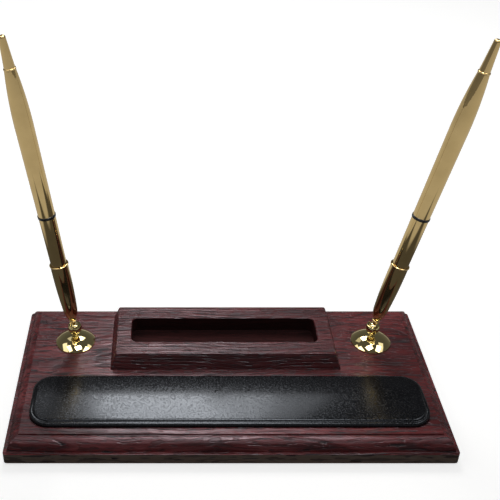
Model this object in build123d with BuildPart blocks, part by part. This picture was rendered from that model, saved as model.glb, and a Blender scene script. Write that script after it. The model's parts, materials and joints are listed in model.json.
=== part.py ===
from build123d import *
from math import atan2, cos, degrees, radians, sin
import os

# Desk stand with two swivel pens, a slotted phone block and a leather pad.
# Millimetres. Origin on the desk under the middle of the board.
# X runs along the board, Y runs to the back, Z is up.

# Felt sheet under the board
FELT_THICKNESS = 1.0
FELT_INSET = 4.0
FELT_CORNER = 3.0

# Moulded wooden board
BASE_LENGTH = 254.0
BASE_DEPTH = 127.0
BASE_THICKNESS = 14.4
EDGE_HEIGHT = 6.8
SHELF_WIDTH = 2.1
MOULDING_WIDTH = 8.5
STEP_HEIGHT = 0.8
CORNER_EASE = 2.0

# Bevelled block with the phone slot
BLOCK_TOP_LENGTH = 133.5
BLOCK_TOP_DEPTH = 46.0
BLOCK_HEIGHT = 10.0
BLOCK_FLARE = 3.5
BLOCK_CENTRE_Y = 24.5
BLOCK_CORNER_EASE = 1.2
BLOCK_EDGE_EASE = 0.5
SLOT_END_WALL = 9.05
SLOT_SIDE_WALL = 11.2
SLOT_CORNER = 4.0
SLOT_RIM_CHAMFER = 0.5

# Wood screws that hold the block from below
SCREW_DIAMETER = 3.4
SCREW_HEAD_DIAMETER = 7.0
SCREW_HEAD_HEIGHT = 2.2
SCREW_LENGTH = 21.0
SCREW_POINT = 2.5
SCREW_HOLE_CLEARANCE = 0.15

# Leather pad in its routed recess
PAD_LENGTH = 229.0
PAD_WIDTH = 41.0
PAD_CENTRE_Y = -29.6
PAD_CORNER = 12.0
PAD_RECESS = 2.0
PAD_PROUD = 3.0
PAD_CROWN = 1.2
PAD_ROLL = 3.0
PAD_CLEARANCE = 0.25
LEATHER_THICKNESS = 1.0
PAD_BOARD_THICKNESS = 2.0

# Domed plate under each swivel
HOLDER_GAP = 10.95
HOLDER_Y = 25.0
DOME_DIAMETER = 24.6
DOME_RIM = 0.8
DOME_HEIGHT = 4.8
DOME_BOSS_DIAMETER = 4.8
DOME_CURVE_RADIUS = 17.5
DOME_WALL = 1.0

# Swivel post with its slotted ball socket
POST_DIAMETER = 3.0
POST_RUNNING_CLEARANCE = 0.08
COLLAR_DIAMETER = 4.2
COLLAR_HEIGHT = 0.8
NECK_DIAMETER = 2.6
PIVOT_ABOVE_BASE = 11.2
BALL_DIAMETER = 6.8
BALL_CLEARANCE = 0.1
SOCKET_WALL = 0.9
SOCKET_MOUTH_HEIGHT = 2.3
SLIT_WIDTH = 1.8
SLIT_DEPTH_BELOW_PIVOT = 2.4
JAW_EASE = 0.35

# Nut and spring washer in the counterbore under the board
BOARD_HOLE_CLEARANCE = 0.3
COUNTERBORE_DIAMETER = 11.0
COUNTERBORE_DEPTH = 6.5
WASHER_DIAMETER = 7.0
WASHER_THICKNESS = 0.6
NUT_WIDTH = 5.5
NUT_HEIGHT = 2.4
POST_END_INSET = 1.2

# Pen cup on the ball stud, measured along the pen from the ball's middle
LEFT_LEAN_ANGLE = 7.8
RIGHT_LEAN_ANGLE = 11.7
STUD_DIAMETER = 2.4
STUD_GRIP = 4.0
CUP_START = 5.0
CUP_LENGTH = 44.3
CUP_FOOT_DIAMETER = 3.8
CUP_FOOT_BEAD_DIAMETER = 4.8
CUP_FOOT_BEAD_HEIGHT = 1.4
CUP_SHOULDER_DIAMETER = 8.8
CUP_SHOULDER_RISE = 9.8
CUP_DIAMETER = 10.7
CUP_STRAIGHT_LENGTH = 7.0
CUP_WALL = 0.45
CUP_BEAD_DIAMETER = 11.6
CUP_BEAD_HEIGHT = 1.1
CUP_FLOOR_RISE = 6.0
CUP_FLOOR_DIAMETER = 3.8
CUP_CONE_LENGTH = 25.0

# Twist pen
PEN_CLEARANCE = 0.12
SEAT_CLEARANCE = 0.2
NOSE_TIP_CLEARANCE = 4.5
NOSE_TIP_DIAMETER = 2.6
NOSE_HOLE_DIAMETER = 1.5
NOSE_LAND = 6.5
NOSE_BORE_DIAMETER = 3.8
NOSE_SPIGOT_LENGTH = 6.0
BARREL_BORE_DIAMETER = 7.2
LOWER_BARREL_SHOWING = 32.8
LOWER_BARREL_DIAMETER = 10.0
STRAIGHT_PAST_CUP = 1.0
RING_DIAMETER = 10.7
RING_HEIGHT = 1.8
RING_EASE = 0.4
UPPER_BARREL_LENGTH = 88.0
UPPER_BARREL_DIAMETER = 10.0
SWELL_DIAMETER = 10.6
SWELL_RISE = 55.7
UPPER_BARREL_WALL = 0.85
TAIL_DIAMETER = 6.5
TAIL_RING_DIAMETER = 6.9
TAIL_RING_HEIGHT = 1.2
TAIL_RING_EASE = 0.35
TAIL_CAP_LENGTH = 17.5
TAIL_CAP_DIAMETER = 6.1
TAIL_END_DIAMETER = 3.7
TAIL_END_ROUND = 1.4
TAIL_SPIGOT_DIAMETER = 3.6
TAIL_SPIGOT_LENGTH = 5.0

# Twist core and refill inside the pen
CORE_RUNNING_CLEARANCE = 0.08
CORE_SPIGOT_LENGTH = 12.0
CORE_LENGTH_ABOVE_RING = 25.0
CORE_CLOSED_END = 4.0
REFILL_DIAMETER = 3.1
REFILL_CLEARANCE = 0.15
REFILL_RETRACTED = 0.6
REFILL_POINT_DIAMETER = 1.2
REFILL_BALL_DIAMETER = 0.7
REFILL_POINT_TAPER = 1.2
REFILL_FEED = 3.0
REFILL_STOP_CLEARANCE = 0.5
REFILL_SHOULDER = 2.0
REFILL_TOP_ABOVE_RING = 16.0

# Heights that several pieces share
base_bottom = FELT_THICKNESS
base_top = base_bottom + BASE_THICKNESS
recess_floor = base_top - PAD_RECESS
pad_edge_top = base_top + PAD_PROUD
pivot_height = base_top + PIVOT_ABOVE_BASE
counterbore_floor = base_bottom + COUNTERBORE_DEPTH

# Radii that fitting pieces share
post_radius = POST_DIAMETER / 2
post_bore = post_radius + POST_RUNNING_CLEARANCE
ball_radius = BALL_DIAMETER / 2
socket_inside = ball_radius + BALL_CLEARANCE
socket_outside = socket_inside + SOCKET_WALL
cup_bore = CUP_DIAMETER / 2 - CUP_WALL
grip_radius = cup_bore - PEN_CLEARANCE
barrel_bore = BARREL_BORE_DIAMETER / 2
core_radius = barrel_bore - CORE_RUNNING_CLEARANCE
refill_radius = REFILL_DIAMETER / 2
swell_bore = SWELL_DIAMETER / 2 - UPPER_BARREL_WALL
upper_bore = UPPER_BARREL_DIAMETER / 2 - UPPER_BARREL_WALL
tail_spigot = TAIL_SPIGOT_DIAMETER / 2

# Stations along each pen from the middle of its ball
cup_mouth = CUP_START + CUP_LENGTH
cup_floor = CUP_START + CUP_FLOOR_RISE
cone_top = cup_floor + CUP_CONE_LENGTH
nose_tip = cup_floor + NOSE_TIP_CLEARANCE
nose_top = cone_top + SEAT_CLEARANCE
ring_start = cup_mouth + LOWER_BARREL_SHOWING
upper_start = ring_start + RING_HEIGHT
swell_station = upper_start + SWELL_RISE
tail_ring_start = upper_start + UPPER_BARREL_LENGTH
tail_cap_start = tail_ring_start + TAIL_RING_HEIGHT
tail_end = tail_cap_start + TAIL_CAP_LENGTH

# Slot in the middle of the block, and the two screws in the block's solid ends
slot_length = BLOCK_TOP_LENGTH - 2 * SLOT_END_WALL
slot_width = BLOCK_TOP_DEPTH - 2 * SLOT_SIDE_WALL
screw_x = slot_length / 2 + (SLOT_END_WALL + BLOCK_FLARE / 2) / 2
screw_points = [(-screw_x, BLOCK_CENTRE_Y), (screw_x, BLOCK_CENTRE_Y)]

# Pen holders, one past each end of the block
holder_x = BLOCK_TOP_LENGTH / 2 + BLOCK_FLARE + HOLDER_GAP + DOME_DIAMETER / 2
holder_points = [(-holder_x, HOLDER_Y), (holder_x, HOLDER_Y)]

os.makedirs("parts", exist_ok=True)


def write(piece, name):
    """Label one finished piece and write it under its name."""
    piece.part.label = name
    export_step(piece.part, f"parts/{name}.step")


def turning_plane(x, y, z, lean=0.0):
    """Plane through a turning axis: local x is the radius, local y runs up the axis, leaning to -X."""
    tilt = radians(lean)
    return Plane(origin=(x, y, z), x_dir=(cos(tilt), 0, sin(tilt)), z_dir=(0, -1, 0))


def under_face(points):
    """Planes on the board's underside that face down, for holes drilled from below."""
    return [Plane(origin=(x, y, base_bottom), z_dir=(0, 0, -1)) for x, y in points]


def moulded_outline(plane, half_width):
    """Elevation of the board: plain edge, shelf, quarter round and small step, on both sides."""
    edge_top = base_bottom + EDGE_HEIGHT
    step_foot = base_top - STEP_HEIGHT
    shelf_end = (half_width - SHELF_WIDTH, edge_top)
    round_end = (half_width - MOULDING_WIDTH, step_foot)
    with BuildSketch(plane) as outline:
        with BuildLine():
            Polyline((0, base_bottom), (half_width, base_bottom), (half_width, edge_top), shelf_end)
            TangentArc(shelf_end, round_end, tangent=(0, 1))
            Polyline(round_end, (half_width - MOULDING_WIDTH, base_top), (0, base_top))
            mirror(about=Plane.YZ)
        make_face()
    return outline.sketch


def crowned_pad(length, width, corner, floor, edge_top, roll):
    """Padded form with round corners in plan, a crown across its width and a rolled top edge."""
    back = PAD_CENTRE_Y + width / 2
    front = PAD_CENTRE_Y - width / 2
    with BuildPart() as form:
        with BuildSketch(Plane.XY.offset(floor)):
            with Locations((0, PAD_CENTRE_Y)):
                RectangleRounded(length, width, corner)
        extrude(amount=edge_top + PAD_CROWN - floor)
        with BuildSketch(Plane.YZ):
            with BuildLine():
                Polyline((front, edge_top), (front, floor), (back, floor), (back, edge_top))
                ThreePointArc((back, edge_top), (PAD_CENTRE_Y, edge_top + PAD_CROWN), (front, edge_top))
            make_face()
        extrude(amount=length / 2, both=True, mode=Mode.INTERSECT)
        fillet(form.faces().sort_by(Axis.Z)[-1].edges(), roll)
    return form.part


# Felt sheet glued under the board
with BuildPart() as felt_underlay:
    with BuildSketch():
        RectangleRounded(BASE_LENGTH - 2 * FELT_INSET, BASE_DEPTH - 2 * FELT_INSET, FELT_CORNER)
    extrude(amount=FELT_THICKNESS)
write(felt_underlay, "felt_underlay")

# Board, moulded on all four sides with mitred corners
front_outline = moulded_outline(Plane.XZ, BASE_LENGTH / 2)
end_outline = moulded_outline(Plane.YZ, BASE_DEPTH / 2)
with BuildPart() as wood_base:
    extrude(front_outline, amount=BASE_DEPTH / 2, both=True)
    extrude(end_outline, amount=BASE_LENGTH / 2, both=True, mode=Mode.INTERSECT)
    upright_edges = wood_base.edges().filter_by(Axis.Z)
    fillet(upright_edges.sort_by_distance((0, 0, base_bottom))[-4:], CORNER_EASE)
    with BuildSketch(Plane.XY.offset(recess_floor)):
        with Locations((0, PAD_CENTRE_Y)):
            RectangleRounded(
                PAD_LENGTH + 2 * PAD_CLEARANCE,
                PAD_WIDTH + 2 * PAD_CLEARANCE,
                PAD_CORNER + PAD_CLEARANCE,
            )
    extrude(amount=PAD_RECESS, mode=Mode.SUBTRACT)
    with Locations(*under_face(holder_points)):
        CounterBoreHole(
            radius=post_radius + BOARD_HOLE_CLEARANCE,
            counter_bore_radius=COUNTERBORE_DIAMETER / 2,
            counter_bore_depth=COUNTERBORE_DEPTH,
            depth=BASE_THICKNESS,
        )
    with Locations(*under_face(screw_points)):
        Hole(radius=SCREW_DIAMETER / 2 + SCREW_HOLE_CLEARANCE, depth=BASE_THICKNESS)
    for x, y in screw_points:
        with BuildSketch(turning_plane(x, y, base_bottom)):
            Polygon(
                (0, 0),
                (SCREW_HEAD_DIAMETER / 2, 0),
                (SCREW_DIAMETER / 2, SCREW_HEAD_HEIGHT),
                (0, SCREW_HEAD_HEIGHT),
                align=None,
            )
        revolve(axis=Axis((x, y, base_bottom), (0, 0, 1)), mode=Mode.SUBTRACT)
write(wood_base, "wood_base")

# Block with sloping sides and a slot down to the board
with BuildPart() as phone_block:
    with BuildSketch(Plane.XY.offset(base_top)):
        with Locations((0, BLOCK_CENTRE_Y)):
            Rectangle(BLOCK_TOP_LENGTH + 2 * BLOCK_FLARE, BLOCK_TOP_DEPTH + 2 * BLOCK_FLARE)
    extrude(amount=BLOCK_HEIGHT, taper=degrees(atan2(BLOCK_FLARE, BLOCK_HEIGHT)))
    corner_edges = phone_block.edges().filter_by(lambda edge: edge.bounding_box().size.Z > BLOCK_HEIGHT / 2)
    fillet(corner_edges, BLOCK_CORNER_EASE)
    fillet(phone_block.faces().sort_by(Axis.Z)[-1].edges(), BLOCK_EDGE_EASE)
    with BuildSketch(Plane.XY.offset(base_top)):
        with Locations((0, BLOCK_CENTRE_Y)):
            RectangleRounded(slot_length, slot_width, SLOT_CORNER)
    extrude(amount=BLOCK_HEIGHT, mode=Mode.SUBTRACT)
    slot_rim = phone_block.faces().sort_by(Axis.Z)[-1].inner_wires()[0].edges()
    chamfer(slot_rim, SLOT_RIM_CHAMFER)
    for x, y in screw_points:
        with BuildSketch(Plane(origin=(x, y, base_top))):
            Circle(SCREW_DIAMETER / 2)
    extrude(amount=base_bottom + SCREW_LENGTH - base_top, mode=Mode.SUBTRACT)
write(phone_block, "phone_block")

# The two wood screws, one group
with BuildPart() as block_screws:
    for x, y in screw_points:
        with BuildSketch(turning_plane(x, y, base_bottom)):
            Polygon(
                (0, 0),
                (SCREW_HEAD_DIAMETER / 2, 0),
                (SCREW_DIAMETER / 2, SCREW_HEAD_HEIGHT),
                (SCREW_DIAMETER / 2, SCREW_LENGTH - SCREW_POINT),
                (0, SCREW_LENGTH),
                align=None,
            )
        revolve(axis=Axis((x, y, base_bottom), (0, 0, 1)))
write(block_screws, "block_screws")

# Stiff board inside the pad
with BuildPart() as pad_board:
    with BuildSketch(Plane.XY.offset(recess_floor)):
        with Locations((0, PAD_CENTRE_Y)):
            RectangleRounded(
                PAD_LENGTH - 2 * LEATHER_THICKNESS,
                PAD_WIDTH - 2 * LEATHER_THICKNESS,
                PAD_CORNER - LEATHER_THICKNESS,
            )
    extrude(amount=PAD_BOARD_THICKNESS)
write(pad_board, "pad_board")

# Foam on the board, crowned like the cover
foam_form = crowned_pad(
    PAD_LENGTH - 2 * LEATHER_THICKNESS,
    PAD_WIDTH - 2 * LEATHER_THICKNESS,
    PAD_CORNER - LEATHER_THICKNESS,
    recess_floor + PAD_BOARD_THICKNESS,
    pad_edge_top - LEATHER_THICKNESS,
    PAD_ROLL - LEATHER_THICKNESS,
)
with BuildPart() as pad_foam:
    add(foam_form)
write(pad_foam, "pad_foam")

# Leather cover, wrapped over the foam and down the sides of the board
cover_form = crowned_pad(PAD_LENGTH, PAD_WIDTH, PAD_CORNER, recess_floor, pad_edge_top, PAD_ROLL)
with BuildPart() as leather_cover:
    add(cover_form)
    add(pad_foam.part, mode=Mode.SUBTRACT)
    add(pad_board.part, mode=Mode.SUBTRACT)
write(leather_cover, "leather_cover")

# Pen holder and pen on each side
sides = (("left", holder_points[0], LEFT_LEAN_ANGLE), ("right", holder_points[1], -RIGHT_LEAN_ANGLE))
for side, (post_x, post_y), lean in sides:
    foot_plane = turning_plane(post_x, post_y, base_top)
    post_plane = turning_plane(post_x, post_y, pivot_height)
    post_axis = Axis(post_plane.origin, post_plane.y_dir)
    pen_plane = turning_plane(post_x, post_y, pivot_height, lean)
    pen_axis = Axis(pen_plane.origin, pen_plane.y_dir)

    # Domed plate: low rim, convex shell and a small flat under the post's collar
    with BuildPart() as dome:
        rim_radius = DOME_DIAMETER / 2
        boss_edge = (DOME_BOSS_DIAMETER / 2, DOME_HEIGHT)
        under_boss = (DOME_BOSS_DIAMETER / 2, DOME_HEIGHT - DOME_WALL)
        with BuildSketch(foot_plane):
            with BuildLine():
                RadiusArc((rim_radius, DOME_RIM), boss_edge, -DOME_CURVE_RADIUS)
                Polyline(
                    boss_edge,
                    (post_bore, DOME_HEIGHT),
                    (post_bore, DOME_HEIGHT - DOME_WALL),
                    under_boss,
                )
                RadiusArc(under_boss, (rim_radius - DOME_WALL, 0), DOME_CURVE_RADIUS)
                Polyline((rim_radius - DOME_WALL, 0), (rim_radius, 0), (rim_radius, DOME_RIM))
            make_face()
        revolve(axis=post_axis)
    write(dome, f"{side}_dome")

    # Swivel post: shank through dome and board, collar, slim neck and a ball socket with two jaws
    with BuildPart() as ball_socket:
        shank_end = base_bottom + POST_END_INSET - pivot_height
        dome_top = DOME_HEIGHT - PIVOT_ABOVE_BASE
        neck_radius = NECK_DIAMETER / 2
        neck_top = -((socket_outside**2 - neck_radius**2) ** 0.5)
        outer_lip = ((socket_outside**2 - SOCKET_MOUTH_HEIGHT**2) ** 0.5, SOCKET_MOUTH_HEIGHT)
        inner_lip = ((socket_inside**2 - SOCKET_MOUTH_HEIGHT**2) ** 0.5, SOCKET_MOUTH_HEIGHT)
        with BuildSketch(post_plane):
            with BuildLine():
                Polyline(
                    (0, -socket_inside),
                    (0, shank_end),
                    (post_radius, shank_end),
                    (post_radius, dome_top),
                    (COLLAR_DIAMETER / 2, dome_top),
                    (COLLAR_DIAMETER / 2, dome_top + COLLAR_HEIGHT),
                    (neck_radius, dome_top + COLLAR_HEIGHT),
                    (neck_radius, neck_top),
                )
                ThreePointArc((neck_radius, neck_top), (socket_outside, 0), outer_lip)
                Line(outer_lip, inner_lip)
                ThreePointArc(inner_lip, (socket_inside, 0), (0, -socket_inside))
            make_face()
        revolve(axis=post_axis)
        with BuildSketch(Plane.XZ.offset(-post_y)):
            with Locations((post_x, pivot_height)):
                Rectangle(SLIT_WIDTH, socket_outside, align=(Align.CENTER, Align.MIN))
                Rectangle(SLIT_WIDTH, SLIT_DEPTH_BELOW_PIVOT, align=(Align.CENTER, Align.MAX))
            with Locations((post_x, pivot_height - SLIT_DEPTH_BELOW_PIVOT)):
                Circle(SLIT_WIDTH / 2)
        extrude(amount=socket_outside, both=True, mode=Mode.SUBTRACT)
        jaw_edges = ball_socket.edges().filter_by(GeomType.CIRCLE).group_by(Axis.Z)[-1].sort_by(SortBy.LENGTH)
        fillet(jaw_edges[-2:], JAW_EASE)
    write(ball_socket, f"{side}_ball_socket")

    # Spring washer against the floor of the counterbore
    with BuildPart() as spring_washer:
        with BuildSketch(Plane(origin=(post_x, post_y, counterbore_floor - WASHER_THICKNESS))):
            Circle(WASHER_DIAMETER / 2)
            Circle(post_bore, mode=Mode.SUBTRACT)
        extrude(amount=WASHER_THICKNESS)
    write(spring_washer, f"{side}_spring_washer")

    # Nut on the end of the post
    with BuildPart() as post_nut:
        nut_bottom = counterbore_floor - WASHER_THICKNESS - NUT_HEIGHT
        with BuildSketch(Plane(origin=(post_x, post_y, nut_bottom))):
            RegularPolygon(NUT_WIDTH / 2, 6, major_radius=False)
            Circle(post_radius, mode=Mode.SUBTRACT)
        extrude(amount=NUT_HEIGHT)
    write(post_nut, f"{side}_post_nut")

    # Ball with its threaded stud
    with BuildPart() as ball_stud:
        stud_radius = STUD_DIAMETER / 2
        stud_foot = (ball_radius**2 - stud_radius**2) ** 0.5
        stud_top = CUP_START + STUD_GRIP
        with BuildSketch(pen_plane):
            with BuildLine():
                ThreePointArc((0, -ball_radius), (ball_radius, 0), (stud_radius, stud_foot))
                Polyline(
                    (stud_radius, stud_foot),
                    (stud_radius, stud_top),
                    (0, stud_top),
                    (0, -ball_radius),
                )
            make_face()
        revolve(axis=pen_axis)
    write(ball_stud, f"{side}_ball_stud")

    # Pen cup: beaded foot, swelling body and a beaded mouth
    with BuildPart() as pen_cup:
        foot_radius = CUP_FOOT_DIAMETER / 2
        body_radius = CUP_DIAMETER / 2
        bead_radius = CUP_BEAD_DIAMETER / 2
        foot_top = (foot_radius, CUP_START + CUP_FOOT_BEAD_HEIGHT)
        cup_shoulder = (CUP_SHOULDER_DIAMETER / 2, CUP_START + CUP_SHOULDER_RISE)
        straight_start = cup_mouth - CUP_STRAIGHT_LENGTH
        bead_start = cup_mouth - CUP_BEAD_HEIGHT
        with BuildSketch(pen_plane):
            with BuildLine():
                Polyline(
                    (0, cup_floor),
                    (0, stud_top),
                    (stud_radius, stud_top),
                    (stud_radius, CUP_START),
                    (foot_radius, CUP_START),
                )
                ThreePointArc(
                    (foot_radius, CUP_START),
                    (CUP_FOOT_BEAD_DIAMETER / 2, CUP_START + CUP_FOOT_BEAD_HEIGHT / 2),
                    foot_top,
                )
                body_curve = TangentArc((body_radius, straight_start), cup_shoulder, tangent=(0, -1))
                TangentArc(cup_shoulder, foot_top, tangent=body_curve % 1)
                Line((body_radius, straight_start), (body_radius, bead_start))
                ThreePointArc(
                    (body_radius, bead_start),
                    (bead_radius, cup_mouth - CUP_BEAD_HEIGHT / 2),
                    (body_radius, cup_mouth),
                )
                Polyline(
                    (body_radius, cup_mouth),
                    (cup_bore, cup_mouth),
                    (cup_bore, cone_top),
                    (CUP_FLOOR_DIAMETER / 2, cup_floor),
                    (0, cup_floor),
                )
            make_face()
        revolve(axis=pen_axis)
    write(pen_cup, f"{side}_pen_cup")

    # Nose of the pen, hidden in the cup
    with BuildPart() as pen_nose:
        with BuildSketch(pen_plane):
            Polygon(
                (NOSE_HOLE_DIAMETER / 2, nose_tip),
                (NOSE_TIP_DIAMETER / 2, nose_tip),
                (grip_radius, nose_top),
                (barrel_bore, nose_top),
                (barrel_bore, nose_top + NOSE_SPIGOT_LENGTH),
                (NOSE_BORE_DIAMETER / 2, nose_top + NOSE_SPIGOT_LENGTH),
                (NOSE_BORE_DIAMETER / 2, nose_tip + NOSE_LAND),
                (NOSE_HOLE_DIAMETER / 2, nose_tip + NOSE_LAND),
                align=None,
            )
        revolve(axis=pen_axis)
    write(pen_nose, f"{side}_pen_nose")

    # Lower barrel: straight where it sits in the cup, then widening to the centre ring
    with BuildPart() as lower_barrel:
        with BuildSketch(pen_plane):
            Polygon(
                (barrel_bore, nose_top),
                (grip_radius, nose_top),
                (grip_radius, cup_mouth + STRAIGHT_PAST_CUP),
                (LOWER_BARREL_DIAMETER / 2, ring_start),
                (barrel_bore, ring_start),
                align=None,
            )
        revolve(axis=pen_axis)
    write(lower_barrel, f"{side}_lower_barrel")

    # Black centre ring on the twist core
    with BuildPart() as centre_ring:
        with BuildSketch(pen_plane):
            Polygon(
                (core_radius, ring_start),
                (RING_DIAMETER / 2, ring_start),
                (RING_DIAMETER / 2, upper_start),
                (core_radius, upper_start),
                align=None,
            )
        revolve(axis=pen_axis)
        fillet(centre_ring.edges().group_by(SortBy.LENGTH)[-1], RING_EASE)
    write(centre_ring, f"{side}_centre_ring")

    # Twist core: runs in the lower barrel, is fixed in the upper barrel and drives the refill
    with BuildPart() as twist_core:
        core_bore = refill_radius + REFILL_CLEARANCE
        core_bottom = ring_start - CORE_SPIGOT_LENGTH
        core_top = upper_start + CORE_LENGTH_ABOVE_RING
        with BuildSketch(pen_plane):
            Polygon(
                (core_bore, core_bottom),
                (core_radius, core_bottom),
                (core_radius, upper_start),
                (upper_bore, upper_start),
                (upper_bore, core_top),
                (0, core_top),
                (0, core_top - CORE_CLOSED_END),
                (core_bore, core_top - CORE_CLOSED_END),
                align=None,
            )
        revolve(axis=pen_axis)
    write(twist_core, f"{side}_twist_core")

    # Upper barrel: swells a little, then curves in to the tail
    with BuildPart() as upper_barrel:
        tail_radius = TAIL_DIAMETER / 2
        swell_radius = SWELL_DIAMETER / 2
        with BuildSketch(pen_plane):
            with BuildLine():
                Line((UPPER_BARREL_DIAMETER / 2, upper_start), (swell_radius, swell_station))
                TangentArc((swell_radius, swell_station), (tail_radius, tail_ring_start), tangent=(0, 1))
                Polyline(
                    (tail_radius, tail_ring_start),
                    (tail_spigot, tail_ring_start),
                    (tail_spigot, tail_ring_start - TAIL_SPIGOT_LENGTH),
                    (swell_bore, swell_station),
                    (upper_bore, swell_station),
                    (upper_bore, upper_start),
                    (UPPER_BARREL_DIAMETER / 2, upper_start),
                )
            make_face()
        revolve(axis=pen_axis)
    write(upper_barrel, f"{side}_upper_barrel")

    # Thin ring between the upper barrel and the tail cap
    with BuildPart() as tail_ring:
        with BuildSketch(pen_plane):
            Polygon(
                (tail_spigot, tail_ring_start),
                (TAIL_RING_DIAMETER / 2, tail_ring_start),
                (TAIL_RING_DIAMETER / 2, tail_cap_start),
                (tail_spigot, tail_cap_start),
                align=None,
            )
        revolve(axis=pen_axis)
        fillet(tail_ring.edges().group_by(SortBy.LENGTH)[-1], TAIL_RING_EASE)
    write(tail_ring, f"{side}_tail_ring")

    # Tail cap, a long cone with a rounded end and a spigot into the upper barrel
    with BuildPart() as tail_cap:
        with BuildSketch(pen_plane):
            Polygon(
                (0, tail_ring_start - TAIL_SPIGOT_LENGTH),
                (tail_spigot, tail_ring_start - TAIL_SPIGOT_LENGTH),
                (tail_spigot, tail_cap_start),
                (TAIL_CAP_DIAMETER / 2, tail_cap_start),
                (TAIL_END_DIAMETER / 2, tail_end),
                (0, tail_end),
                align=None,
            )
        revolve(axis=pen_axis)
        end_edge = tail_cap.edges().sort_by_distance(pen_plane.from_local_coords((0, tail_end, 0)))[0]
        fillet(end_edge, TAIL_END_ROUND)
    write(tail_cap, f"{side}_tail_cap")

    # Refill, drawn back into the nose
    with BuildPart() as refill:
        refill_end = nose_tip + REFILL_RETRACTED
        point_radius = REFILL_POINT_DIAMETER / 2
        point_top = nose_tip + NOSE_LAND + REFILL_FEED + REFILL_STOP_CLEARANCE
        refill_top = upper_start + REFILL_TOP_ABOVE_RING
        with BuildSketch(pen_plane):
            Polygon(
                (0, refill_end),
                (REFILL_BALL_DIAMETER / 2, refill_end),
                (point_radius, refill_end + REFILL_POINT_TAPER),
                (point_radius, point_top),
                (refill_radius, point_top + REFILL_SHOULDER),
                (refill_radius, refill_top),
                (0, refill_top),
                align=None,
            )
        revolve(axis=pen_axis)
    write(refill, f"{side}_refill")
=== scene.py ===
"""Looks of the desk stand: materials, leather pad, felt sheet, floor, lamps and camera, in metres."""

import json
from math import cos, hypot, pi, radians, sin, sqrt

import bpy
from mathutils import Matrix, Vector

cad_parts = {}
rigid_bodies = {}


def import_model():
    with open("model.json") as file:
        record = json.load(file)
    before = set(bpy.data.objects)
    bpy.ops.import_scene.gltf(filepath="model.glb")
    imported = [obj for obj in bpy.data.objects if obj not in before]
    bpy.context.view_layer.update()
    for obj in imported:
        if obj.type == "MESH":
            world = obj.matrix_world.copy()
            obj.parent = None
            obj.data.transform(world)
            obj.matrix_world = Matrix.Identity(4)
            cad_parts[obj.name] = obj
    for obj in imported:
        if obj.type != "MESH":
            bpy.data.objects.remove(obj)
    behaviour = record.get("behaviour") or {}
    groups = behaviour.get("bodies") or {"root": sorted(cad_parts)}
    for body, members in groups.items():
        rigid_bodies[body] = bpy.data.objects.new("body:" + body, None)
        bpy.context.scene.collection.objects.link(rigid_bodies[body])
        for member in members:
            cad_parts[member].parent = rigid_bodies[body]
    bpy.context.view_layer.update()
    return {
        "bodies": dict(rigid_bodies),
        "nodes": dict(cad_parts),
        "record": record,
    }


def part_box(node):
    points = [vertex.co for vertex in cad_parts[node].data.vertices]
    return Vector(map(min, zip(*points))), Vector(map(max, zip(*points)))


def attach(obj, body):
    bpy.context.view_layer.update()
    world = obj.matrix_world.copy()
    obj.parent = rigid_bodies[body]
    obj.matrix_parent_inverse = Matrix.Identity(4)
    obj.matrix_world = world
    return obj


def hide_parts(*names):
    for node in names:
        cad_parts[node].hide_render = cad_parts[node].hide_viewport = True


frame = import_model()

# Camera found from the photograph: tilt in degrees, lens and sensor in millimetres
CAMERA_PLACE = (-0.0359, -0.3920, 0.3629)
CAMERA_TILT = 56.32
CAMERA_LENS = 61.2
CAMERA_SENSOR = 36.0
CAMERA_SHIFT = 0.1668

# Leather pad: round corners in plan, rolled edge, crown across the width
PAD_CORNER = 0.012
PAD_ROLL = 0.003
PAD_CROWN = 0.0012
LEATHER_THICKNESS = 0.001

# Bead and seam along the pad's front: places in from the edge, and drops under the crown
BEAD_CREST = 0.0012
BEAD_DROP = 0.0009
BEAD_FALL = 0.0019
SEAM_INSET = 0.0021
SEAM_DROP = 0.00115

# The bead fades out over this share of the half width on either side of the pad's middle
BEAD_FADE = 0.5

# Mesh of the pad: columns along its straight part and round a corner, rows across it
PAD_COLUMNS = 80
PAD_CORNER_COLUMNS = 32
PAD_ROWS = 100

# Felt sheet under the board: round corners, and the straight steps in each
FELT_CORNER = 0.003
FELT_CORNER_STEPS = 8

# Side of a sheet on which its thickness lies
ALONG_NORMAL = 1.0
AGAINST_NORMAL = -1.0

# Noise: middle of its range, and the span in which most of it lies
NOISE_MIDDLE = 0.5
NOISE_SPAN = (0.3, 0.7)

# Sockets of a node that mixes two colours
MIX_FACTOR = 0
MIX_FIRST = 6
MIX_SECOND = 7
MIX_RESULT = 2

# The two pieces of wood: middle of the rings (Y, Z), their spacing and waver, sunk lines, share of dark stain
BOARD_WOOD = {"pith": (0.018, -0.060), "ring_spacing": 0.0028, "waver": 7.0, "rib": 0.6, "deep": 0.0}
BLOCK_WOOD = {"pith": (-0.06, -0.045), "ring_spacing": 0.0022, "waver": 1.6, "rib": 0.5, "deep": 0.4}

# Grain: how far it is drawn out along the board, its drift across, cells per metre and span of each noise
GRAIN_STRETCH = 0.07
DRIFT_CELLS = (11, 26, 26)
DRIFT = 0.012
FIBRE_CELLS = (28, 430, 430)
FIBRE_SPAN = (0.36, 0.64)
CLOUD_CELLS = (12, 70, 70)
PORE_CELLS = (110, 620, 620)
PORE_SPAN = (0.54, 0.59)

# Radians that the wave of the rings turns through in one unit of its scale
WAVE_RADIANS = 20

# Late wood: where in a ring its dark line comes and goes, and how strong the line and its pores are
LINE_START = (0.78, 0.92)
LINE_END = (0.95, 1.0)
LINE_DEPTH = 0.3
LINE_WITH_ALL_PORES = 0.6
PORES_BETWEEN_LINES = 0.5

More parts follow.
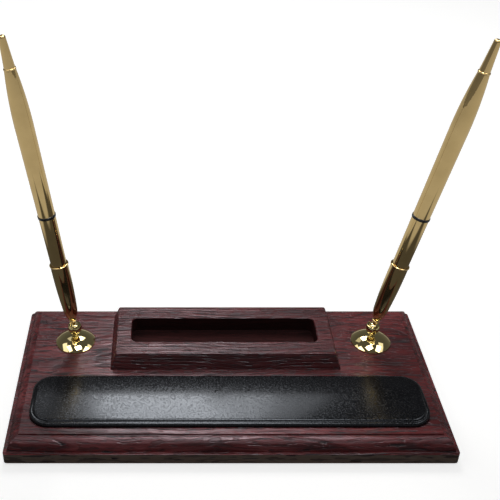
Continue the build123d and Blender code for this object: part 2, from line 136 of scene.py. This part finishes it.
# Red stain, from dark to light grain, and the colour in the pores
WOOD_DARK = (0.060, 0.011, 0.012, 1)
WOOD_MID = (0.165, 0.028, 0.030, 1)
WOOD_LIGHT = (0.320, 0.074, 0.078, 1)
STAIN_STOPS = ((0.05, WOOD_DARK), (0.45, WOOD_MID), (0.85, WOOD_LIGHT))
WOOD_PORE = (0.014, 0.003, 0.0035, 1)

# Lacquer: depth of the grain in it, roughness from sunk to raised grain, strength and tint of its shine
WOOD_RELIEF = 0.00022
FIBRE_RELIEF = 0.35
LACQUER_SPAN = (-1.5, 1.0)
LACQUER_ROUGHNESS = (0.5, 0.17)
LACQUER_SHINE = 0.42
LACQUER_TINT = (0.97, 0.88, 0.95, 1)

# Brown square edge of the board: up to this height, with this share of brown
BROWN_EDGE = 0.0076
BROWN_SHARE = 0.85
WOOD_BROWN = (0.245, 0.192, 0.150, 1)

# Painted shade in the phone slot: reach past the recorded opening, bare rim, share, colour, dull finish, and
# the dark tint that dims its gloss
SLOT_MARGIN = 0.0016
SLOT_RIM = 0.0005
SLOT_SHADE_SHARE = 0.88
SLOT_SHADE_COLOUR = (0.022, 0.0045, 0.004, 1)
SLOT_ROUGHNESS = 0.9
SLOT_SHADE_TINT = (0.12, 0.08, 0.08, 1)

# Leather: cells per metre, depth of the pits, roughness from pit to grain, tones, shine and its tint
LEATHER_CELLS = (1150, 1150, 1150)
LEATHER_SPAN = (0.4, 0.6)
LEATHER_RELIEF = 0.000008
LEATHER_ROUGHNESS = (0.28, 0.1)
LEATHER_CLOUDS = (60, 60, 60)
LEATHER_TONES = ((0.003, 0.003, 0.004, 1), (0.007, 0.007, 0.009, 1))
LEATHER_SHINE = 0.4
LEATHER_TINT = (0.85, 0.91, 1.0, 1)

# Plate: clouds and handling marks in cells per metre, share and depth of the marks
PLATE_CLOUDS = (90, 90, 90)
MARK_CELLS = (700, 700, 160)
MARK_SHARE = 0.5
MARK_SPAN = (0.4, 1.1)
MARK_RELIEF = 0.000004

# Plated metals: dark and bright tone, least and most roughness
PALE_GOLD_TONES = ((0.74, 0.535, 0.24, 1), (0.84, 0.615, 0.285, 1))
PALE_GOLD_ROUGHNESS = (0.03, 0.07)
YELLOW_GOLD_TONES = ((0.72, 0.59, 0.28, 1), (0.82, 0.68, 0.35, 1))
YELLOW_GOLD_ROUGHNESS = (0.02, 0.05)
ZINC_TONES = ((0.45, 0.45, 0.46, 1), (0.6, 0.6, 0.61, 1))
ZINC_ROUGHNESS = (0.25, 0.4)

# Plastics: clouds in cells per metre, dark and bright tone, least and most roughness
PLASTIC_CLOUDS = (300, 300, 300)
RING_TONES = ((0.006, 0.006, 0.007, 1), (0.012, 0.012, 0.013, 1))
RING_ROUGHNESS = (0.1, 0.18)
CORE_TONES = ((0.02, 0.02, 0.02, 1), (0.05, 0.05, 0.05, 1))
CORE_ROUGHNESS = (0.4, 0.55)

# Hardboard under the foam
HARDBOARD_CELLS = (900, 500, 900)
HARDBOARD_TONES = ((0.10, 0.06, 0.035, 1), (0.30, 0.20, 0.12, 1))
HARDBOARD_RELIEF = 0.0001
HARDBOARD_ROUGHNESS = 0.8

# Foam under the leather
FOAM_CELLS = 1400.0
FOAM_SPAN = (0.1, 0.6)
FOAM_TONES = ((0.35, 0.32, 0.24, 1), (0.62, 0.58, 0.46, 1))
FOAM_RELIEF = 0.0003
FOAM_ROUGHNESS = 0.9

# Felt
FELT_CELLS = (1500, 1500, 1500)
FELT_TONES = ((0.012, 0.015, 0.013, 1), (0.05, 0.058, 0.05, 1))
FELT_RELIEF = 0.0003
FELT_ROUGHNESS = 0.95
FELT_SHEEN = 0.4

# Floor: half side, colour, glow, and how strongly it shows by soft light and in gloss
FLOOR_HALF = 6.0
FLOOR_COLOUR = (0.62, 0.62, 0.61, 1)
FLOOR_GLOW = 0.74
BOUNCE_LEVEL = 0.4
GLOSS_LEVEL = 0.5
BLACK = (0, 0, 0, 1)

# Painted shadow: patch of floor round the board that is dim in gloss
SHADE_LEVEL = 0.08
SHADE_MIDDLE = (0.0, -0.022)
SHADE_HALF = (0.21, 0.13)
SHADE_SOFTNESS = 0.025

# Room: grey at the horizon and overhead, the rise at which it no longer changes, and the curve between
HORIZON_GREY = 0.17
ZENITH_GREY = 0.09
ZENITH_RISE = 0.7
ZENITH_CURVE = 2.0

# Point that every lamp faces
AIM = (-0.01, -0.01, 0.02)

# Window behind the object, and the middle, width and radiance of each pane
WINDOW_Y = 0.61
WINDOW_Z = 0.80
WINDOW_HEIGHT = 0.31
PANES = {
    "window_far_left_pane": (-0.33, 0.32, 0.6),
    "window_left_pane": (-0.055, 0.21, 11.5),
    "window_middle_pane": (0.095, 0.09, 7.0),
    "window_right_pane": (0.18, 0.08, 2.5),
}

# Lamps that show only in gloss: place, size and radiance
GLOSS_LAMPS = {
    "overhead": ((0.05, -0.12, 1.0), (0.36, 0.30), 15.0),
    "over_camera": ((0.02, -0.62, 0.72), (0.60, 0.24), 2.0),
    "front_right_corner": ((0.58, -0.14, 0.90), (0.50, 0.28), 4.0),
    "front_left_corner": ((-0.48, -0.14, 0.94), (0.50, 0.24), 3.0),
}

# Panels on both sides
PANEL_X = 0.75
PANEL_Y = -0.02
PANEL_Z = 0.85
PANEL_SIZE = (0.8, 0.3)
RIGHT_PANEL_RADIANCE = 1.2
LEFT_PANEL_RADIANCE = 1.3


def clear_others():
    """Only the frame stays in the file."""
    kept = set(frame["nodes"].values()) | set(frame["bodies"].values())
    for other in [o for o in bpy.data.objects if o not in kept]:
        bpy.data.objects.remove(other)


def add(tree, kind, inputs=None, **settings):
    """One shader node: sockets among the inputs are linked, other values are set."""
    node = tree.nodes.new("ShaderNode" + kind)
    for key, value in settings.items():
        setattr(node, key, value)
    for key, value in (inputs or {}).items():
        if isinstance(value, bpy.types.NodeSocket):
            tree.links.new(value, node.inputs[key])
        else:
            node.inputs[key].default_value = value
    return node


def maths(tree, operation, first, second=0.0):
    """Result of one Math node."""
    return add(tree, "Math", {0: first, 1: second}, operation=operation).outputs[0]


def away(tree, value, middle):
    """How far a value is from a middle one, either way."""
    return maths(tree, "ABSOLUTE", maths(tree, "SUBTRACT", value, middle))


def spread(tree, value, low, high, to_low=0.0, to_high=1.0):
    """Value stretched from low..high to to_low..to_high and kept there."""
    inputs = {"Value": value, "From Min": low, "From Max": high, "To Min": to_low, "To Max": to_high}
    return add(tree, "MapRange", inputs).outputs["Result"]


def ramp(tree, factor, *stops):
    """Colour ramp through (position, colour) stops."""
    node = add(tree, "ValToRGB", {"Fac": factor})
    elements = node.color_ramp.elements
    while len(elements) < len(stops):
        elements.new(1.0)
    for element, (position, colour) in zip(elements, stops):
        element.position = position
        element.color = colour
    return node.outputs["Color"]


def two_tone(tree, factor, tones, span=NOISE_SPAN):
    """Colour from the first tone to the second over a span of the factor."""
    return ramp(tree, factor, *zip(span, tones))


def mix_colour(tree, factor, first, second):
    """Colour between two colours."""
    inputs = {MIX_FACTOR: factor, MIX_FIRST: first, MIX_SECOND: second}
    return add(tree, "Mix", inputs, data_type="RGBA").outputs[MIX_RESULT]


def noise(tree, place, cells, detail=2.0, roughness=0.5):
    """Noise with its own number of cells per metre along each axis."""
    mapped = add(tree, "Mapping", {"Vector": place, "Scale": cells}).outputs["Vector"]
    inputs = {"Vector": mapped, "Scale": 1.0, "Detail": detail, "Roughness": roughness}
    return add(tree, "TexNoise", inputs).outputs["Fac"]


def new_material(name):
    """Material with one principled shader, its node tree and the object's own coordinates."""
    material = bpy.data.materials.new(name)
    material.use_nodes = True
    tree = material.node_tree
    tree.nodes.clear()
    shader = add(tree, "BsdfPrincipled")
    add(tree, "OutputMaterial", {"Surface": shader.outputs["BSDF"]})
    place = add(tree, "TexCoord").outputs["Object"]
    return material, tree, shader, place


def link(tree, shader, **sockets):
    """Links varying values to the shader's sockets, by name with underscores for spaces."""
    for name, value in sockets.items():
        tree.links.new(value, shader.inputs[name.replace("_", " ")])


def bump(tree, height, depth):
    """Normal from a height between 0 and 1 and the depth that it stands for."""
    inputs = {"Height": height, "Distance": depth, "Strength": 1.0}
    return add(tree, "Bump", inputs).outputs["Normal"]


def wander(tree, place):
    """Place with the grain's slow drift across the board."""
    mapped = add(tree, "Mapping", {"Vector": place, "Scale": DRIFT_CELLS}).outputs["Vector"]
    drift = add(tree, "TexNoise", {"Vector": mapped, "Scale": 1.0, "Detail": 1.0}).outputs["Color"]
    middle = (NOISE_MIDDLE, NOISE_MIDDLE, NOISE_MIDDLE)
    centred = add(tree, "VectorMath", {0: drift, 1: middle}, operation="SUBTRACT").outputs[0]
    across = add(tree, "VectorMath", {0: centred, 1: (0, DRIFT, DRIFT)}, operation="MULTIPLY").outputs[0]
    return add(tree, "VectorMath", {0: place, 1: across}, operation="ADD").outputs[0]


def ring_lines(tree, place, pith, spacing, waver):
    """Dark line of late wood in each of the rings round a line along X."""
    middle = {"Vector": place, "Location": (0, -pith[0], -pith[1]), "Scale": (GRAIN_STRETCH, 1, 1)}
    inputs = {
        "Vector": add(tree, "Mapping", middle).outputs["Vector"],
        "Scale": 2 * pi / (WAVE_RADIANS * spacing),
        "Distortion": waver,
        "Detail": 3.0,
        "Detail Scale": 0.4,
        "Detail Roughness": 0.6,
    }
    settings = {"wave_type": "RINGS", "rings_direction": "X", "wave_profile": "SAW"}
    ring = add(tree, "TexWave", inputs, **settings).outputs["Fac"]
    rising = spread(tree, ring, *LINE_START)
    falling = spread(tree, ring, *LINE_END, to_low=1.0, to_high=0.0)
    return maths(tree, "MULTIPLY", rising, falling)


def painted_slot_shade(tree, place):
    """Share of painted shade: on the floor and the walls of the phone slot alone."""
    low, high = frame["record"]["physics"]["openings"][0]["box_m"]
    axes = add(tree, "SeparateXYZ", {0: place}).outputs
    inside = maths(tree, "LESS_THAN", axes["Z"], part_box("phone_block")[1].z - SLOT_RIM)
    for axis, start, end in zip("XY", low, high):
        off = away(tree, axes[axis], (start + end) / 2)
        within = maths(tree, "LESS_THAN", off, (end - start) / 2 + SLOT_MARGIN)
        inside = maths(tree, "MULTIPLY", inside, within)
    return maths(tree, "MULTIPLY", inside, SLOT_SHADE_SHARE)


def wood_colour(tree, place, tone, deep, pores, slot):
    """Red stain by tone, brown on the square edge, dark in the pores and darkest in the slot, where shade is
    painted.
    """
    stain = mix_colour(tree, deep, ramp(tree, tone, *STAIN_STOPS), WOOD_DARK)
    edge = maths(tree, "LESS_THAN", add(tree, "SeparateXYZ", {0: place}).outputs["Z"], BROWN_EDGE)
    finish = mix_colour(tree, maths(tree, "MULTIPLY", edge, BROWN_SHARE), stain, WOOD_BROWN)
    grained = mix_colour(tree, pores, finish, WOOD_PORE)
    return mix_colour(tree, slot, grained, SLOT_SHADE_COLOUR)


def wood(name, pith, ring_spacing, waver, rib, deep):
    """Red stained oak: rings round a line along X, pores as dark dashes, satin lacquer, and painted shade in
    the phone slot.
    """
    material, tree, shader, straight = new_material(name)
    place = wander(tree, straight)
    line = ring_lines(tree, place, pith, ring_spacing, waver)
    fibre = spread(tree, noise(tree, place, FIBRE_CELLS, detail=4.0, roughness=0.65), *FIBRE_SPAN)
    cloud = spread(tree, noise(tree, place, CLOUD_CELLS), *NOISE_SPAN)
    dash = spread(tree, noise(tree, place, PORE_CELLS, detail=1.0), *PORE_SPAN)
    share = spread(tree, line, 0.0, LINE_WITH_ALL_PORES, to_low=PORES_BETWEEN_LINES)
    pores = maths(tree, "MULTIPLY", dash, share)
    # Painted shade: the slot's floor and walls get a darker colour, and their shine is dimmed by a dark tint
    slot = painted_slot_shade(tree, straight)
    grain = maths(tree, "DIVIDE", maths(tree, "ADD", fibre, cloud), 2)
    tone = maths(tree, "SUBTRACT", grain, maths(tree, "MULTIPLY", line, LINE_DEPTH))
    colour = wood_colour(tree, straight, tone, deep, pores, slot)
    sunk = maths(tree, "ADD", maths(tree, "MULTIPLY", line, rib), pores)
    relief = maths(tree, "SUBTRACT", maths(tree, "MULTIPLY", fibre, FIBRE_RELIEF), sunk)
    height = maths(tree, "MULTIPLY", relief, maths(tree, "SUBTRACT", 1.0, slot))
    lacquer = spread(tree, maths(tree, "SUBTRACT", fibre, sunk), *LACQUER_SPAN, *LACQUER_ROUGHNESS)
    duller = maths(tree, "MULTIPLY", slot, maths(tree, "SUBTRACT", SLOT_ROUGHNESS, lacquer))
    roughness = maths(tree, "ADD", lacquer, duller)
    # Painted shade in the gloss: a dark tint dims the shine inside the slot
    tint = mix_colour(tree, slot, LACQUER_TINT, SLOT_SHADE_TINT)
    normal = bump(tree, height, WOOD_RELIEF)
    link(tree, shader, Base_Color=colour, Roughness=roughness, Specular_Tint=tint, Normal=normal)
    shader.inputs["Specular IOR Level"].default_value = LACQUER_SHINE
    return material


def leather(name):
    """Black leather: fine grain with dull pits."""
    material, tree, shader, place = new_material(name)
    grain = noise(tree, place, LEATHER_CELLS, roughness=0.6)
    colour = two_tone(tree, noise(tree, place, LEATHER_CLOUDS), LEATHER_TONES)
    roughness = spread(tree, grain, *LEATHER_SPAN, *LEATHER_ROUGHNESS)
    link(tree, shader, Base_Color=colour, Roughness=roughness, Normal=bump(tree, grain, LEATHER_RELIEF))
    shader.inputs["Specular IOR Level"].default_value = LEATHER_SHINE
    shader.inputs["Specular Tint"].default_value = LEATHER_TINT
    return material


def plated(name, tones, roughness_span):
    """Polished plate: faint clouds of colour, handling marks in the gloss."""
    material, tree, shader, place = new_material(name)
    cloud = noise(tree, place, PLATE_CLOUDS, detail=3.0)
    marks = noise(tree, place, MARK_CELLS)
    colour = two_tone(tree, cloud, tones)
    wear = maths(tree, "ADD", cloud, maths(tree, "MULTIPLY", marks, MARK_SHARE))
    roughness = spread(tree, wear, *MARK_SPAN, *roughness_span)
    link(tree, shader, Base_Color=colour, Roughness=roughness, Normal=bump(tree, marks, MARK_RELIEF))
    shader.inputs["Metallic"].default_value = 1.0
    return material


def moulded(name, tones, roughness_span):
    """Plastic with a slight cloud in its colour and gloss."""
    material, tree, shader, place = new_material(name)
    cloud = noise(tree, place, PLASTIC_CLOUDS)
    colour = two_tone(tree, cloud, tones)
    link(tree, shader, Base_Color=colour, Roughness=spread(tree, cloud, *NOISE_SPAN, *roughness_span))
    return material


def pressed_board(name):
    """Brown hardboard of short pressed fibres."""
    material, tree, shader, place = new_material(name)
    fibre = noise(tree, place, HARDBOARD_CELLS, detail=3.0, roughness=0.7)
    colour = two_tone(tree, fibre, HARDBOARD_TONES)
    link(tree, shader, Base_Color=colour, Normal=bump(tree, fibre, HARDBOARD_RELIEF))
    shader.inputs["Roughness"].default_value = HARDBOARD_ROUGHNESS
    return material


def foam(name):
    """Open cell foam."""
    material, tree, shader, place = new_material(name)
    cell = add(tree, "TexVoronoi", {"Vector": place, "Scale": FOAM_CELLS}).outputs["Distance"]
    colour = two_tone(tree, cell, FOAM_TONES, FOAM_SPAN)
    link(tree, shader, Base_Color=colour, Normal=bump(tree, cell, FOAM_RELIEF))
    shader.inputs["Roughness"].default_value = FOAM_ROUGHNESS
    return material


def felt(name):
    """Black green felt of tangled fibres."""
    material, tree, shader, place = new_material(name)
    fibre = noise(tree, place, FELT_CELLS, detail=4.0, roughness=0.75)
    colour = two_tone(tree, fibre, FELT_TONES)
    link(tree, shader, Base_Color=colour, Normal=bump(tree, fibre, FELT_RELIEF))
    shader.inputs["Roughness"].default_value = FELT_ROUGHNESS
    shader.inputs["Sheen Weight"].default_value = FELT_SHEEN
    return material


def make_materials():
    """One material for each slot of the record, and one more for the block's own piece of wood."""
    return {
        "wood": wood("board_oak", **BOARD_WOOD),
        "block_wood": wood("block_oak", **BLOCK_WOOD),
        "leather": leather("black_leather"),
        "foam": foam("pad_foam"),
        "hardboard": pressed_board("pressed_board"),
        "felt": felt("black_felt"),
        "gold": plated("pale_gold", PALE_GOLD_TONES, PALE_GOLD_ROUGHNESS),
        "brass": plated("yellow_gold", YELLOW_GOLD_TONES, YELLOW_GOLD_ROUGHNESS),
        "steel": plated("zinc", ZINC_TONES, ZINC_ROUGHNESS),
        "black_ring": moulded("black_gloss", RING_TONES, RING_ROUGHNESS),
        "core_plastic": moulded("black_plastic", CORE_TONES, CORE_ROUGHNESS),
    }


def paint(piece, material):
    """The piece wears this one material."""
    piece.data.materials.clear()
    piece.data.materials.append(material)


def paint_nodes(materials):
    """Each CAD node wears the material of its slot, and the block its own piece of wood."""
    for entry in frame["record"]["subparts"]:
        paint(frame["nodes"][entry["node"]], materials[entry["material_slot"]])
    paint(frame["nodes"]["phone_block"], materials["block_wood"])


def new_piece(name, points, faces):
    """Smooth mesh object from points and faces."""
    mesh = bpy.data.meshes.new(name)
    mesh.from_pydata(points, [], faces)
    mesh.validate()
    mesh.shade_smooth()
    piece = bpy.data.objects.new(name, mesh)
    bpy.context.scene.collection.objects.link(piece)
    return piece


def thicken(piece, thickness, side):
    """Gives a sheet its thickness on one side of its faces."""
    body = piece.modifiers.new("thickness", "SOLIDIFY")
    body.thickness = thickness
    body.offset = side


def edge_distance(x, y, half_length, half_width):
    """How far a point lies inside the pad's outline."""
    past_x = abs(x) - (half_length - PAD_CORNER)
    past_y = abs(y) - (half_width - PAD_CORNER)
    outside = hypot(max(past_x, 0), max(past_y, 0)) + min(max(past_x, past_y), 0)
    return PAD_CORNER - outside


def round_off(short, reach, depth):
    """Drop of a round edge at a point this far short of its flat side."""
    return depth * (1 - sqrt(max(1 - (max(short, 0) / reach) ** 2, 0)))


def beaded_drop(inside):
    """Drop of the front edge under the crown: outside of the bead, its inside, roll behind the seam."""
    if inside < BEAD_CREST:
        return BEAD_DROP + round_off(BEAD_CREST - inside, BEAD_CREST, BEAD_FALL)
    if inside < SEAM_INSET:
        return BEAD_DROP + round_off(inside - BEAD_CREST, SEAM_INSET - BEAD_CREST, SEAM_DROP - BEAD_DROP)
    return round_off(SEAM_INSET + SEAM_DROP - inside, SEAM_DROP, SEAM_DROP)


def edge_drop(inside, toward_back):
    """Drop of the pad's edge: rolled at the back, beaded at the front, and between the two at the ends."""
    rolled = round_off(PAD_ROLL - inside, PAD_ROLL, PAD_ROLL)
    front = min(max((BEAD_FADE - toward_back) / (2 * BEAD_FADE), 0), 1)
    return rolled + front * (beaded_drop(inside) - rolled)


def pad_columns(half_length, half_width):
    """(x, half width) of each column across the pad, closer together round the corners."""
    straight = half_length - PAD_CORNER
    corner = []
    for step in range(1, PAD_CORNER_COLUMNS + 1):
        angle = radians(90) * step / PAD_CORNER_COLUMNS
        corner.append((straight + PAD_CORNER * sin(angle), half_width - PAD_CORNER * (1 - cos(angle))))
    middle = [(straight * (2 * step / PAD_COLUMNS - 1), half_width) for step in range(PAD_COLUMNS + 1)]
    return [(-x, w) for x, w in reversed(corner)] + middle + corner


def pad_top(columns, low, high):
    """Points of the pad's crowned top, column by column from front to back."""
    half_length = (high.x - low.x) / 2
    half_width = (high.y - low.y) / 2
    centre_y = (high.y + low.y) / 2
    edge_top = high.z - PAD_CROWN
    crown_radius = (half_width**2 + PAD_CROWN**2) / (2 * PAD_CROWN)
    points = []
    for x, reach in columns:
        for row in range(PAD_ROWS + 1):
            y = reach * sin(radians(90) * (2 * row / PAD_ROWS - 1))
            inside = edge_distance(x, y, half_length, half_width)
            crown = PAD_CROWN - (crown_radius - sqrt(crown_radius**2 - y**2))
            points.append((x, centre_y + y, edge_top + crown - edge_drop(inside, y / half_width)))
    return points


def pad_faces(column_count):
    """Faces of the pad's top, each between two columns and two rows."""
    rows = PAD_ROWS + 1
    corners = [column * rows + row for column in range(column_count - 1) for row in range(PAD_ROWS)]
    return [(corner, corner + rows, corner + rows + 1, corner + 1) for corner in corners]


def pad_rim(column_count):
    """Points round the edge of the pad's top, in order."""
    rows = PAD_ROWS + 1
    front = [column * rows for column in range(column_count)]
    right = [(column_count - 1) * rows + row for row in range(1, rows)]
    back = [column * rows + PAD_ROWS for column in range(column_count - 2, -1, -1)]
    left = list(range(PAD_ROWS - 1, 0, -1))
    return front + right + back + left


def leather_pad(material):
    """Leather stretched over the pad: crowned top, bead along the front, sides down into the recess."""
    low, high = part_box("leather_cover")
    columns = pad_columns((high.x - low.x) / 2, (high.y - low.y) / 2)
    points = pad_top(columns, low, high)
    faces = pad_faces(len(columns))
    rim = pad_rim(len(columns))
    hem = len(points)
    points += [(points[index][0], points[index][1], low.z) for index in rim]
    for step, index in enumerate(rim):
        follow = (step + 1) % len(rim)
        faces.append((rim[follow], index, hem + step, hem + follow))
    pad = new_piece("leather_pad", points, faces)
    thicken(pad, LEATHER_THICKNESS, AGAINST_NORMAL)
    paint(pad, material)
    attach(pad, "stand")
    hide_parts("leather_cover")


def felt_sheet(material):
    """Felt cut with round corners and glued under the board."""
    low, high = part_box("felt_underlay")
    outline = []
    for turn, (x, y) in enumerate([(high.x, high.y), (low.x, high.y), (low.x, low.y), (high.x, low.y)]):
        inward_x = FELT_CORNER if x < 0 else -FELT_CORNER
        inward_y = FELT_CORNER if y < 0 else -FELT_CORNER
        for step in range(FELT_CORNER_STEPS + 1):
            angle = radians(90) * (turn + step / FELT_CORNER_STEPS)
            outline.append((x + inward_x + FELT_CORNER * cos(angle), y + inward_y + FELT_CORNER * sin(angle)))
    points = [(x, y, low.z) for x, y in outline]
    sheet = new_piece("felt_sheet", points, [tuple(range(len(points)))])
    thicken(sheet, high.z - low.z, ALONG_NORMAL)
    paint(sheet, material)
    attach(sheet, "stand")
    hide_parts("felt_underlay")


def floor_in_gloss(tree):
    """How strongly the floor shows in gloss: weakly close round the board, where a shadow is painted."""
    axes = add(tree, "SeparateXYZ", {0: add(tree, "TexCoord").outputs["Object"]}).outputs
    past_x = maths(tree, "SUBTRACT", away(tree, axes["X"], SHADE_MIDDLE[0]), SHADE_HALF[0])
    past_y = maths(tree, "SUBTRACT", away(tree, axes["Y"], SHADE_MIDDLE[1]), SHADE_HALF[1])
    outside = maths(tree, "MAXIMUM", past_x, past_y)
    return spread(tree, outside, 0.0, SHADE_SOFTNESS, SHADE_LEVEL, GLOSS_LEVEL)


def floor():
    """Pale floor that shows near white and keeps the shadow of the object."""
    half = FLOOR_HALF
    corners = [(-half, -half, 0), (half, -half, 0), (half, half, 0), (-half, half, 0)]
    plane = new_piece("floor", corners, [(0, 1, 2, 3)])
    material = bpy.data.materials.new("pale_floor")
    material.use_nodes = True
    tree = material.node_tree
    tree.nodes.clear()
    path = add(tree, "LightPath").outputs
    gloss = maths(tree, "MULTIPLY", path["Is Glossy Ray"], floor_in_gloss(tree))
    straight = maths(tree, "MAXIMUM", path["Is Camera Ray"], path["Is Transmission Ray"])
    seen = maths(tree, "MAXIMUM", straight, gloss)
    lit = maths(tree, "MAXIMUM", seen, maths(tree, "MULTIPLY", path["Is Diffuse Ray"], BOUNCE_LEVEL))
    matt = add(tree, "BsdfDiffuse", {"Color": mix_colour(tree, lit, BLACK, FLOOR_COLOUR)})
    glow = add(tree, "Emission", {"Strength": maths(tree, "MULTIPLY", seen, FLOOR_GLOW)})
    both = add(tree, "AddShader", {0: matt.outputs[0], 1: glow.outputs[0]})
    add(tree, "OutputMaterial", {"Surface": both.outputs[0]})
    paint(plane, material)


def room():
    """Grey room, paler toward the horizon."""
    world = bpy.data.worlds.new("room")
    world.use_nodes = True
    tree = world.node_tree
    rise = add(tree, "SeparateXYZ", {0: add(tree, "TexCoord").outputs["Generated"]}).outputs["Z"]
    low = maths(tree, "POWER", spread(tree, rise, 0.0, ZENITH_RISE, 1.0, 0.0), ZENITH_CURVE)
    grey = spread(tree, low, 0.0, 1.0, ZENITH_GREY, HORIZON_GREY)
    tree.links.new(grey, tree.nodes["Background"].inputs["Color"])
    bpy.context.scene.world = world


def softbox(name, place, size, radiance, lights=True):
    """Soft lamp that faces the object, or one that only shows in gloss."""
    width, height = size
    lamp = bpy.data.lights.new(name, "AREA")
    lamp.shape = "RECTANGLE"
    lamp.size = width
    lamp.size_y = height
    lamp.energy = radiance * pi * width * height
    body = bpy.data.objects.new(name, lamp)
    body.location = place
    body.rotation_euler = (Vector(AIM) - Vector(place)).to_track_quat("-Z", "Y").to_euler()
    body.visible_camera = False
    body.visible_diffuse = lights
    bpy.context.scene.collection.objects.link(body)


def lamps():
    """Window of four panes behind, four lamps that show in gloss alone, and a panel on each side."""
    for name, (middle, width, radiance) in PANES.items():
        softbox(name, (middle, WINDOW_Y, WINDOW_Z), (width, WINDOW_HEIGHT), radiance)
    for name, (place, size, radiance) in GLOSS_LAMPS.items():
        softbox(name, place, size, radiance, lights=False)
    softbox("right_panel", (PANEL_X, PANEL_Y, PANEL_Z), PANEL_SIZE, RIGHT_PANEL_RADIANCE)
    softbox("left_panel", (-PANEL_X, PANEL_Y, PANEL_Z), PANEL_SIZE, LEFT_PANEL_RADIANCE)


def camera():
    """Camera at the photograph's place and angle."""
    lens = bpy.data.cameras.new("camera")
    lens.sensor_width = CAMERA_SENSOR
    lens.lens = CAMERA_LENS
    lens.shift_x = CAMERA_SHIFT
    body = bpy.data.objects.new("camera", lens)
    body.location = CAMERA_PLACE
    body.rotation_euler = (radians(CAMERA_TILT), 0, 0)
    bpy.context.scene.collection.objects.link(body)
    bpy.context.scene.camera = body


clear_others()
slots = make_materials()
paint_nodes(slots)
leather_pad(slots["leather"])
felt_sheet(slots["felt"])
floor()
room()
lamps()
camera()
bpy.context.scene.view_settings.view_transform = "Standard"
